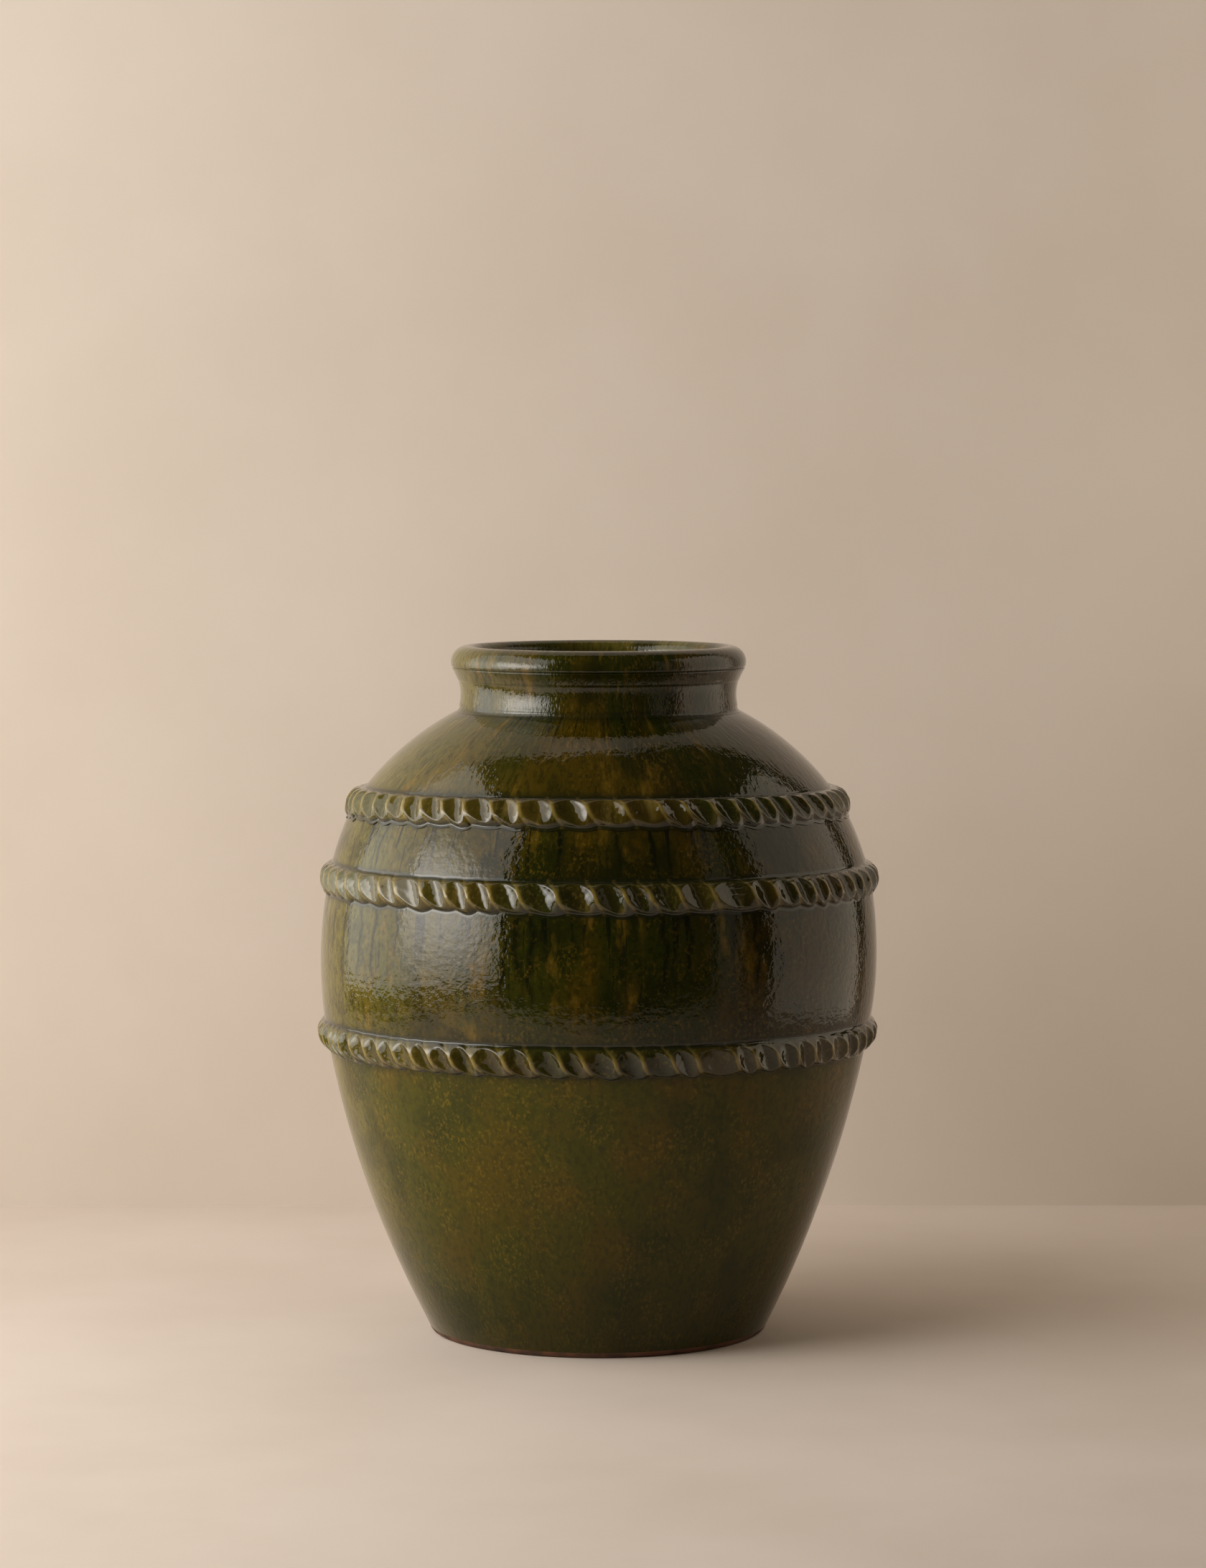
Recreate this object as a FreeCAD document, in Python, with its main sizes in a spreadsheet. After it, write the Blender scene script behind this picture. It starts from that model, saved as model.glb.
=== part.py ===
import FreeCAD, Part
import Sketcher
import math
import os

os.makedirs("parts", exist_ok=True)
doc = FreeCAD.newDocument("pithos")

# Driving dimensions, in millimetres, degrees where the name says lean or slant
size_rows = [
    ("foot_radius", 113.6, "outside of the first wall ring where it stands on the base slab"),
    ("foot_edge", 4.0, "height of the bare rounded edge of the base slab"),
    ("foot_edge_bow", 6.0, "radius of that rounded edge"),
    ("floor_thickness", 14.0, "clay of the floor"),
    ("wall", 12.0, "clay of the thrown walls, across the wall"),
    ("tongue_height", 3.0, "height of the scored tongue that each ring carries for the next"),
    ("lower_wall_height", 198.5, "base slab edge to the lower luted joint"),
    ("belly_height", 104.5, "lower to middle luted joint"),
    ("lower_shoulder_height", 51.0, "middle to upper luted joint"),
    ("upper_shoulder_height", 59.0, "upper luted joint to the neck root"),
    ("neck_height", 29.0, "neck root to the underside of the rolled rim"),
    ("rim_height", 14.0, "underside to crest of the rolled rim"),
    ("belly_radius", 186.4, "widest outside of the wall"),
    ("lower_draw_in", 4.8, "how far the wall draws in from the belly to the lower joint"),
    ("middle_draw_in", 5.6, "how far it draws in to the middle joint"),
    ("upper_draw_in", 25.0, "how far it draws in to the upper joint"),
    ("lower_joint_lean", 10.7, "outward lean of the wall at the lower joint"),
    ("middle_joint_lean", -12.1, "the wall leans inward at the middle joint"),
    ("upper_joint_lean", -32.3, "the wall leans inward at the upper joint"),
    ("lower_wall_bow", 710.0, "profile radius of the lower wall, outside"),
    ("belly_bow", 271.5, "profile radius of the belly, outside"),
    ("lower_shoulder_bow", 187.4, "profile radius of the lower shoulder, outside"),
    ("upper_shoulder_bow", 184.3, "profile radius of the upper shoulder, outside"),
    ("throat_radius", 80.0, "bore through the neck and the rim"),
    ("neck_seat_depth", 6.7, "depth of the throat below the neck root"),
    ("neck_wall", 13.5, "clay at the root of the neck"),
    ("neck_cove_height", 20.0, "height of the hollow of the neck"),
    ("neck_cove_bow", 31.0, "profile radius of that hollow"),
    ("neck_flare", 3.9, "how far the neck widens between hollow and rim"),
    ("rim_width", 18.5, "width of the rolled rim, throat to outside"),
    ("rim_lip_bow", 7.7, "rounding from the crest down into the throat"),
    ("rim_undercut", 0.5, "how far the underside of the rim is drawn in"),
    ("coil_height", 18.5, "width of the applied coils along the wall"),
    ("coil_depth", 6.3, "how far the coils stand out from the wall"),
    ("coil_spans", 12, "spans of coil laid one after the other round the jar"),
    ("lower_finger_pitch", 17.9, "spacing of the finger presses on the lower coil"),
    ("middle_finger_pitch", 18.65, "spacing of the finger presses on the middle coil"),
    ("upper_finger_pitch", 18.4, "spacing of the finger presses on the upper coil"),
    ("press_slant", 35.0, "slant of the presses from upright"),
    ("press_depth", 3.3, "depth of a finger press at the crown of the coil"),
    ("press_overrun", 0.5, "start of the press above the crown"),
    ("ridge_land", 1.5, "rounded ridge left between two presses"),
]

sheet = doc.addObject("Spreadsheet::Sheet", "Sizes")
for row, (alias, number, meaning) in enumerate(size_rows, start=1):
    sheet.set(f"A{row}", alias)
    sheet.set(f"B{row}", str(number))
    sheet.setAlias(f"B{row}", alias)
    sheet.set(f"C{row}", meaning)
doc.recompute()

# Heights of the joints, stacked up from the ground
foot_seam_height = "Sizes.foot_edge"
lower_height = f"{foot_seam_height} + Sizes.lower_wall_height"
middle_height = f"{lower_height} + Sizes.belly_height"
upper_height = f"{middle_height} + Sizes.lower_shoulder_height"
neck_root_height = f"{upper_height} + Sizes.upper_shoulder_height"
rim_seam_height = f"{neck_root_height} + Sizes.neck_height"
crest_height = f"{rim_seam_height} + Sizes.rim_height"

# Radii of the neck, all from the throat outwards
throat = "Sizes.throat_radius"
neck_root_radius = f"{throat} + Sizes.neck_wall"
neck_top_radius = f"{neck_root_radius} + Sizes.neck_flare"
crest_radius = f"{throat} + Sizes.rim_lip_bow"
rim_outer_radius = f"{throat} + Sizes.rim_width"
rim_bead_bow = "Sizes.rim_width - Sizes.rim_lip_bow"
heel_radius = "Sizes.foot_radius - Sizes.wall"

half_coil = "Sizes.coil_height / 2"
coil_bow = "((Sizes.coil_height / 2)^2 + Sizes.coil_depth^2) / (2 * Sizes.coil_depth)"


def luted_joint(place, height):
    return {"radius": f"Sizes.belly_radius - Sizes.{place}_draw_in",
            "height": height,
            "lean": f"Sizes.{place}_joint_lean"}


lower_joint = luted_joint("lower", lower_height)
middle_joint = luted_joint("middle", middle_height)
upper_joint = luted_joint("upper", upper_height)


def at_joint(joint, along="0", outward="0"):
    # a point given by its distance along the wall and out of the wall from a luted joint
    lean = joint["lean"]
    radius = f"{joint['radius']} + ({along}) * sin({lean}) + ({outward}) * cos({lean})"
    height = f"{joint['height']} + ({along}) * cos({lean}) - ({outward}) * sin({lean})"
    return radius, height


def tongue_outward(joint):
    # the joint face from the outside of the wall over its tongue to the inside
    return [(*at_joint(joint), None),
            (*at_joint(joint, "Sizes.tongue_height", "-Sizes.wall / 2"), None),
            at_joint(joint, "0", "-Sizes.wall")]


def level_tongue(height, outer):
    # the same face where it lies level, as at the neck and under the rim
    return [(outer, height, None),
            (f"({outer} + {throat}) / 2", f"{height} + Sizes.tongue_height", None),
            (throat, height)]


def number(expression):
    found = sheet.evalExpression(expression)
    return float(getattr(found, "Value", found))


def arc_between(start, end, bow):
    # the short arc from start to end, and whether it runs anticlockwise: a minus turns it right
    turns_left = not bow.startswith("-")
    bow_radius = abs(number(bow))
    chord = end - start
    middle = (start + end) * 0.5
    reach = math.sqrt(bow_radius ** 2 - (chord.Length / 2) ** 2)
    left = FreeCAD.Vector(-chord.y, chord.x, 0).normalize()
    centre = middle + left * (reach if turns_left else -reach)
    first, last = (start, end) if turns_left else (end, start)
    first_angle = math.atan2(first.y - centre.y, first.x - centre.x)
    last_angle = math.atan2(last.y - centre.y, last.x - centre.x)
    circle = Part.Circle(centre, FreeCAD.Vector(0, 0, 1), bow_radius)
    return Part.ArcOfCircle(circle, first_angle, last_angle), turns_left


def draw_outline(sketch, corners):
    # corners are (across, up, bow): two expressions, then the bow of the edge that leaves the corner
    places = [FreeCAD.Vector(number(across), number(up), 0) for across, up, _ in corners]
    starts, ends = [], []
    for index, (_, _, bow) in enumerate(corners):
        start, end = places[index], places[(index + 1) % len(corners)]
        if bow is None:
            edge = sketch.addGeometry(Part.LineSegment(start, end), False)
            starts.append((edge, 1))
            ends.append((edge, 2))
            continue
        arc, turns_left = arc_between(start, end, bow)
        edge = sketch.addGeometry(arc, False)
        starts.append((edge, 1 if turns_left else 2))
        ends.append((edge, 2 if turns_left else 1))
        radius = sketch.addConstraint(Sketcher.Constraint("Radius", edge, abs(number(bow))))
        sketch.setExpression(f"Constraints[{radius}]", bow.lstrip("-"))
    for index, (across, up, _) in enumerate(corners):
        sketch.addConstraint(Sketcher.Constraint("Coincident", *ends[index - 1], *starts[index]))
        for kind, expression, axis in (("DistanceX", across, -2), ("DistanceY", up, -1)):
            if expression == "0":
                sketch.addConstraint(Sketcher.Constraint("PointOnObject", *starts[index], axis))
                continue
            held = sketch.addConstraint(Sketcher.Constraint(kind, -1, 1, *starts[index], number(expression)))
            sketch.setExpression(f"Constraints[{held}]", expression)


def origin_part(body, role):
    return next(feature for feature in body.Origin.OriginFeatures if feature.Role == role)


def repeat_round(body, name, feature, copies):
    # copies of a feature, evenly round the axis of the jar
    pattern = body.newObject("PartDesign::PolarPattern", name)
    pattern.Originals = [feature]
    pattern.Axis = (origin_part(body, "Z_Axis"), [""])
    pattern.Angle = 360
    pattern.setExpression("Occurrences", copies)
    pattern.Refine = False
    body.Tip = pattern
    doc.recompute()


def turned_body(name, corners, spans=None):
    # a body of revolution about the axis of the jar, from its upright half section
    body = doc.addObject("PartDesign::Body", name)
    body.Label = name
    section = body.newObject("Sketcher::SketchObject", f"{name}_section")
    section.AttachmentSupport = [(origin_part(body, "XZ_Plane"), "")]
    section.MapMode = "FlatFace"
    draw_outline(section, corners)
    turned = body.newObject("PartDesign::Revolution", f"{name}_turned")
    turned.Profile = section
    turned.ReferenceAxis = (section, ["V_Axis"])
    turned.Angle = 360
    turned.Refine = False
    body.Tip = turned
    if spans:
        turned.setExpression("Angle", f"360 / {spans}")
        doc.recompute()
        repeat_round(body, f"{name}_spans", turned, spans)
    doc.recompute()
    return body


def base_slab():
    return turned_body("base_slab", [
        ("0", "0", None),
        ("Sizes.foot_radius - Sizes.foot_edge", "0", "Sizes.foot_edge_bow"),
        ("Sizes.foot_radius", foot_seam_height, None),
        (heel_radius, foot_seam_height, None),
        (heel_radius, "Sizes.floor_thickness", None),
        ("0", "Sizes.floor_thickness", None)])


def lower_wall():
    *joint_face, inside = tongue_outward(lower_joint)
    return turned_body("lower_wall", [
        (heel_radius, foot_seam_height, None),
        ("Sizes.foot_radius", foot_seam_height, "Sizes.lower_wall_bow"),
        (*at_joint(lower_joint, f"-{half_coil}"), None),
        *joint_face,
        (*inside, "-(Sizes.lower_wall_bow - Sizes.wall)"),
        (heel_radius, "Sizes.floor_thickness", None)])


def wall_ring(name, below, above, bow):
    # a ring between two luted joints, with a flat seat for half of a coil at each end
    *joint_face, inside = tongue_outward(above)
    outer, tongue, inner = tongue_outward(below)
    return turned_body(name, [
        outer,
        (*at_joint(below, half_coil), bow),
        (*at_joint(above, f"-{half_coil}"), None),
        *joint_face,
        (*inside, f"-({bow} - Sizes.wall)"),
        (*inner, None),
        tongue])


def upper_shoulder():
    *neck_face, throat_edge = level_tongue(neck_root_height, neck_root_radius)
    outer, tongue, inner = tongue_outward(upper_joint)
    return turned_body("upper_shoulder", [
        outer,
        (*at_joint(upper_joint, half_coil), "Sizes.upper_shoulder_bow"),
        *neck_face,
        (*throat_edge, None),
        (throat, f"{neck_root_height} - Sizes.neck_seat_depth", "-(Sizes.upper_shoulder_bow - Sizes.wall)"),
        (*inner, None),
        tongue])


def neck_collar():
    outer, tongue, inner = level_tongue(neck_root_height, neck_root_radius)
    *rim_face, throat_edge = level_tongue(rim_seam_height, neck_top_radius)
    return turned_body("neck_collar", [
        (outer[0], outer[1], "-Sizes.neck_cove_bow"),
        (neck_root_radius, f"{neck_root_height} + Sizes.neck_cove_height", None),
        *rim_face,
        (*throat_edge, None),
        (*inner, None),
        tongue])


def rim_roll():
    outer, tongue, inner = level_tongue(rim_seam_height, neck_top_radius)
    return turned_body("rim_roll", [
        outer,
        (f"{rim_outer_radius} - Sizes.rim_undercut", rim_seam_height, None),
        (rim_outer_radius, f"{crest_height} - ({rim_bead_bow})", rim_bead_bow),
        (crest_radius, crest_height, "Sizes.rim_lip_bow"),
        (throat, f"{crest_height} - Sizes.rim_lip_bow", None),
        (*inner, None),
        tongue])


def rope_band(name, joint, finger_pitch):
    # a clay coil luted over a joint, pressed all round with a slanted finger
    body = turned_body(name, [
        (*at_joint(joint, f"-{half_coil}"), coil_bow),
        (*at_joint(joint, half_coil), None)], "Sizes.coil_spans")
    crown = f"({joint['radius']} + Sizes.coil_depth * cos({joint['lean']}))"
    presses = f"round(2 * pi * {crown} / {finger_pitch})"
    ridge_spacing = f"2 * pi * {crown} / {presses} * cos(Sizes.press_slant)"
    half_press = f"({ridge_spacing} - Sizes.ridge_land) / 2"
    press_top = "Sizes.coil_depth + Sizes.press_overrun"
    press_sagitta = "(Sizes.press_depth + Sizes.press_overrun)"
    press_bow = f"(({half_press})^2 + {press_sagitta}^2) / (2 * {press_sagitta})"
    press = body.newObject("Sketcher::SketchObject", f"{name}_press")
    press.AttachmentSupport = [(origin_part(body, "XY_Plane"), "")]
    press.MapMode = "FlatFace"
    press.setExpression("AttachmentOffset", f"placement(vector({joint['radius']}; 0; {joint['height']}); "
                        f"rotation(0; {joint['lean']}; Sizes.press_slant))")
    doc.recompute()
    draw_outline(press, [
        (press_top, f"-({half_press})", None),
        (press_top, half_press, press_bow)])
    doc.recompute()
    pocket = body.newObject("PartDesign::Pocket", f"{name}_finger")
    pocket.Profile = press
    pocket.Midplane = True
    pocket.setExpression("Length", "2 * Sizes.coil_height")
    pocket.Refine = False
    doc.recompute()
    repeat_round(body, f"{name}_presses", pocket, presses)
    return body


pieces = [
    base_slab(),
    lower_wall(),
    wall_ring("belly_wall", lower_joint, middle_joint, "Sizes.belly_bow"),
    wall_ring("lower_shoulder", middle_joint, upper_joint, "Sizes.lower_shoulder_bow"),
    upper_shoulder(),
    neck_collar(),
    rim_roll(),
    rope_band("lower_rope_band", lower_joint, "Sizes.lower_finger_pitch"),
    rope_band("middle_rope_band", middle_joint, "Sizes.middle_finger_pitch"),
    rope_band("upper_rope_band", upper_joint, "Sizes.upper_finger_pitch"),
]
doc.recompute()

for item in doc.Objects:
    if "Invalid" in item.State or "Error" in item.State:
        raise RuntimeError(f"{item.Label} failed: {item.State}")
for piece in pieces:
    if piece.Shape.isNull() or not piece.Shape.isValid() or len(piece.Shape.Solids) != 1:
        raise RuntimeError(f"{piece.Label} is not one valid solid")
for piece in pieces:
    piece.Shape.exportStep(f"parts/{piece.Label}.step")
    print(f"{piece.Label}: {piece.Shape.Volume:.0f} mm3, {len(piece.Shape.Faces)} faces")
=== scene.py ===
import math

import bmesh
import bpy
import numpy as np
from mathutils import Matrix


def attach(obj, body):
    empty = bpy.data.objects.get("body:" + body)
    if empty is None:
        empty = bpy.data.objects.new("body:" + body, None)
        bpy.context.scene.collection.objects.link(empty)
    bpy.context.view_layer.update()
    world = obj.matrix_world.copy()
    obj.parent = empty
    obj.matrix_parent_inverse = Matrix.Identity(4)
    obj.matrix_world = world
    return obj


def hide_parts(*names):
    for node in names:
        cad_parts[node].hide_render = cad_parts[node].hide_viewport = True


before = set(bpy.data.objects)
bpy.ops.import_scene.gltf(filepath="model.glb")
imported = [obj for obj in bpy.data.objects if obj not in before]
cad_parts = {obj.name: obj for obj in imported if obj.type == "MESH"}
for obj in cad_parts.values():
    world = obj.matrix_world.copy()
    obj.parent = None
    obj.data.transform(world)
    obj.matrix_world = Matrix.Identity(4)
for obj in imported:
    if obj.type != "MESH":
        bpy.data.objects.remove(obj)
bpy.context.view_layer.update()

# The jar is drawn in millimetres and written to its meshes in metres.
mm = 0.001

jar = {
    "wall": 12.0,            # clay across the wall
    "throat": 80.0,          # radius of the bore through the neck
    "foot": (113.6, 4.0),    # the lower wall stands here on the base: out from the axis, and up
    "floor": 14.0,           # top of the floor inside
    "neckRoot": 417.0,       # heights where the neck and the rim begin
    "rimRoot": 446.0,
    "throatFoot": 410.3,     # height where the inside of the shoulder meets the bore
    "turns": 240,            # facets round a thrown wall
    "insideRow": 9.0,        # rows of facets down the inside
    "level": 0.001,          # an edge whose ends differ less than this runs round the jar
    "weld": 0.01,            # points closer than this are one
    "creaseAngle": 40.0,     # a sharper fold than this stays a crease
}

# Heights in millimetres against how far the thrown rings sit to the right of the foot's centre
ringShift = {"height": (0, 90, 150, 203, 230, 300, 360, 420, 460),
             "right": (-0.5, -1.6, -1.4, -0.9, -0.2, 0.7, -0.4, 0.0, 0.1)}

# Slow swells of a wall turned by hand: how many round the jar, height in mm, lean with height, start
handSwells = ((2, 0.30, 0.004, 0.6), (3, 0.22, -0.007, 2.1),
              (5, 0.12, 0.013, 4.0), (8, 0.05, 0.021, 1.2))


def bowedEdge(start, end, bow, row):
    # points from start to end along an arc of that radius, which a minus turns to the other side;
    # the end isn't among them
    chord = (end[0] - start[0], end[1] - start[1])
    length = math.hypot(*chord)
    half = math.asin(length / 2 / abs(bow))
    side = 1 if bow > 0 else -1
    reach = abs(bow) * math.cos(half) * side
    centre = ((start[0] + end[0]) / 2 - chord[1] / length * reach,
              (start[1] + end[1]) / 2 + chord[0] / length * reach)
    first = math.atan2(start[1] - centre[1], start[0] - centre[0])
    count = max(2, round(2 * half * abs(bow) / row))
    angles = [first + side * 2 * half * step / count for step in range(count)]
    return [(centre[0] + abs(bow) * math.cos(angle), centre[1] + abs(bow) * math.sin(angle))
            for angle in angles]


def turnedMesh(name, section, turns, cuts=0):
    # the section, points of (across, up), spun round the axis of the jar, then cut finer round it;
    # it closes on itself unless it starts and ends on the axis
    bm = bmesh.new()
    ring = [bm.verts.new((across, 0, up)) for across, up in section]
    closed = section[0][0] > 0
    edges = [bm.edges.new((ring[index - 1], ring[index]))
             for index in range(0 if closed else 1, len(ring))]
    bmesh.ops.spin(bm, geom=ring + edges, cent=(0, 0, 0), axis=(0, 0, 1), angle=2 * math.pi,
                   steps=turns, use_merge=True)
    if cuts:
        ends = [(edge, *(end.co for end in edge.verts)) for edge in bm.edges]
        rounds = [edge for edge, one, other in ends if abs(one.z - other.z) < jar["level"]
                  and abs(one.xy.length - other.xy.length) < jar["level"]]
        bmesh.ops.subdivide_edges(bm, edges=rounds, cuts=cuts, use_grid_fill=True)
    bmesh.ops.remove_doubles(bm, verts=bm.verts, dist=jar["weld"])
    bmesh.ops.recalc_face_normals(bm, faces=bm.faces)
    mesh = bpy.data.meshes.new(name)
    bm.to_mesh(mesh)
    bm.free()
    return mesh


def meshPoints(mesh):
    # angle to the right of the front, distance from the axis and height of every vertex
    points = np.empty(len(mesh.vertices) * 3)
    mesh.vertices.foreach_get("co", points)
    x, y, z = points.reshape(-1, 3).T
    return np.arctan2(x, -y), np.hypot(x, y), z


def placePoints(mesh, angle, radius, height):
    # the slow swells and the shift of the rings, then the vertices in metres
    swell = sum(size * np.cos(count * angle + start + lean * height)
                for count, size, lean, start in handSwells)
    grip = np.clip(radius / jar["throat"], 0, 1) * np.clip(height / jar["wall"], 0, 1)
    radius = radius + swell * grip
    x = radius * np.sin(angle) + np.interp(height, ringShift["height"], ringShift["right"])
    points = np.stack((x, -radius * np.cos(angle), height), axis=1) * mm
    mesh.vertices.foreach_set("co", points.ravel())
    mesh.update()


def paint(mesh, name, values):
    # a value for every vertex, which the glazes read
    layer = mesh.attributes.new(name, "FLOAT", "POINT")
    layer.data.foreach_set("value", np.ascontiguousarray(values, dtype=np.float32))


# Where the glaze is painted lighter, partly a thinner glaze and partly painted light on the side the
# left lamps face: degrees to the right of the front, degrees it reaches, and how strong
thinAndLitSides = ((-82, 42, 1.0), (150, 40, 0.8))


def thinnessAndLitSide(angle):
    # how thin the glaze is round the jar, which also paints light on the side the left lamps face
    turned = [(np.angle(np.exp(1j * (angle - math.radians(side)))) / math.radians(reach), share)
              for side, reach, share in thinAndLitSides]
    return np.clip(sum(share * np.exp(-off ** 2) for off, share in turned), 0, 1)


def smoothStep(low, high, value):
    share = np.clip((value - low) / (high - low), 0, 1)
    return share * share * (3 - 2 * share)


def finishPiece(mesh, node, glaze):
    mesh.set_sharp_from_angle(angle=math.radians(jar["creaseAngle"]))
    mesh.materials.append(glaze)
    piece = bpy.data.objects.new(mesh.name, mesh)
    bpy.context.scene.collection.objects.link(piece)
    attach(piece, "root")
    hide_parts(node)
    print(f"{mesh.name}: {len(mesh.vertices)} vertices")


# Materials

noiseRoughness = 0.55        # how strong the finer clouds are in all noise
glazeLap = 0.18              # metres, radius of the cylinder that the glaze patterns are laid round


def linearColour(hexColour):
    # an sRGB hex value as the linear colour that the shaders take
    channels = [int(hexColour[place:place + 2], 16) / 255 for place in (1, 3, 5)]
    return [c / 12.92 if c <= 0.04045 else ((c + 0.055) / 1.055) ** 2.4 for c in channels] + [1.0]


def addNode(tree, kind, settings=None, links=None):
    # a setting is a property of the node or one of its sockets, and a link brings an output to a socket
    node = tree.nodes.new(kind)
    for name, value in (settings or {}).items():
        if isinstance(name, str) and hasattr(node, name):
            setattr(node, name, value)
        else:
            node.inputs[name].default_value = value
    for name, source in (links or {}).items():
        tree.links.new(source, node.inputs[name])
    return node


def emptyTree(owner):
    # the shader tree of a material, lamp or world, without the nodes it starts with
    owner.use_nodes = True
    owner.node_tree.nodes.clear()
    return owner.node_tree


def glazeFlow(tree, shift):
    # the surface laid round a cylinder, so that a run of glaze follows the wall down at any width of
    # the jar; shift takes another part of the same noise
    place = addNode(tree, "ShaderNodeTexCoord").outputs["Object"]
    level = addNode(tree, "ShaderNodeVectorMath", {"operation": "MULTIPLY", 1: (1, 1, 0)}, {0: place})
    around = addNode(tree, "ShaderNodeVectorMath", {"operation": "NORMALIZE"}, {0: level.outputs[0]})
    upright = addNode(tree, "ShaderNodeVectorMath",
                      {"operation": "MULTIPLY_ADD", 1: (0, 0, 1), 2: (shift, 0, 0)}, {0: place})
    flow = addNode(tree, "ShaderNodeVectorMath",
                   {"operation": "MULTIPLY_ADD", 1: (glazeLap, glazeLap, 0)},
                   {0: around.outputs[0], 2: upright.outputs[0]})
    return flow.outputs[0]


def clouding(tree, flow, size, stretch, detail, seed):
    # noise of that size across in millimetres, drawn out down the wall
    drawn = addNode(tree, "ShaderNodeVectorMath",
                    {"operation": "MULTIPLY_ADD", 1: (1, 1, 1 / stretch), 2: (seed, seed, seed)},
                    {0: flow})
    cloud = addNode(tree, "ShaderNodeTexNoise",
                    {"Scale": 1 / (size * mm), "Detail": detail, "Roughness": noiseRoughness},
                    {"Vector": drawn.outputs[0]})
    return cloud.outputs["Fac"]


def patches(tree, flow, size, stretch, detail, seed, low, high):
    # soft patches where that noise is over low, full over high
    cloud = clouding(tree, flow, size, stretch, detail, seed)
    return addNode(tree, "ShaderNodeMapRange",
                   {"interpolation_type": "SMOOTHSTEP", "From Min": low, "From Max": high},
                   {"Value": cloud}).outputs["Result"]


def layOver(tree, under, colour, cover, share):
    # a colour over what is under it, as thick as cover says
    thick = addNode(tree, "ShaderNodeMath", {"operation": "MULTIPLY", 1: share}, {0: cover}).outputs[0]
    mixed = addNode(tree, "ShaderNodeMix", {"data_type": "RGBA", 7: linearColour(colour)},
                    {0: thick, 6: under})
    return mixed.outputs[2]


def jarGlaze(name, look):
    # Copper green glaze, dipped and fired over red earthenware: a thick, clear and wet-looking skin,
    # green where it is thick, amber where iron comes through, ochre where it breaks, with dark runs.
    # A lighter colour on the left is partly thin glaze and partly painted light.
    material = bpy.data.materials.new(name)
    tree = emptyTree(material)
    flow = glazeFlow(tree, look["shift"])
    poolAndFootShade, breaks, wet, inside, thin, streams = (
        addNode(tree, "ShaderNodeAttribute", {"attribute_name": layer}).outputs["Fac"]
        for layer in ("glazePoolAndFootShade", "glazeBreak", "belowCoil", "insideWall", "thinGlazeAndLitSide", "darkRun"))

    def spread(pattern, within=None):
        # patches of that pattern, and only where the other cover is when there is one
        cover = patches(tree, flow, *look[pattern])
        if within is None:
            return cover
        both = addNode(tree, "ShaderNodeMath", {"operation": "MULTIPLY"}, {0: within, 1: cover})
        return both.outputs[0]

    green, amber = linearColour(look["green"]), linearColour(look["amber"])
    ground = addNode(tree, "ShaderNodeMix", {"data_type": "RGBA", 6: green, 7: amber},
                     {0: spread("amberPatches")}).outputs[2]
    # the pooled colour is glaze pooled beside the coils and in the creases, and also painted shade
    # toward the foot
    # the thin colour is partly thinner glaze and partly painted light on the side the left lamps face
    coats = (("thin", thin, "thinAndLitShare"),
             ("deep", spread("deepPatches"), "deepShare"),
             ("ochre", spread("drips", spread("dripPlaces")), "dripShare"),
             ("run", spread("hairs", wet), "runShare"),
             ("run", streams, "streamShare"),
             ("deep", spread("mottle"), "mottleShare"),
             ("ochre", spread("specks", spread("speckPlaces")), "speckShare"),
             ("pooledAndFootShade", poolAndFootShade, "poolAndFootShadeShare"),
             ("ochre", breaks, "breakShare"),
             ("inside", inside, "insideShare"))
    for colour, cover, share in coats:
        ground = layOver(tree, ground, look[colour], cover, look[share])

    relief = addNode(tree, "ShaderNodeMath", {"operation": "MULTIPLY", 1: look["thrown"]},
                     {0: clouding(tree, flow, *look["thrownNoise"])})
    for kind in ("peel", "swell"):
        relief = addNode(tree, "ShaderNodeMath", {"operation": "MULTIPLY_ADD", 1: look[kind]},
                         {0: clouding(tree, flow, *look[f"{kind}Noise"]), 2: relief.outputs[0]})
    bump = addNode(tree, "ShaderNodeBump", {"Strength": 1.0, "Distance": mm},
                   {"Height": relief.outputs[0]})
    gloss = addNode(tree, "ShaderNodeMapRange", {"To Min": look["gloss"][0], "To Max": look["gloss"][1]},
                    {"Value": clouding(tree, flow, *look["glossNoise"])})
    skin = addNode(tree, "ShaderNodeBsdfPrincipled", {"IOR": look["ior"]},
                   {"Base Color": ground, "Roughness": gloss.outputs["Result"],
                    "Normal": bump.outputs["Normal"]})
    addNode(tree, "ShaderNodeOutputMaterial", links={"Surface": skin.outputs["BSDF"]})
    return material


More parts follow.
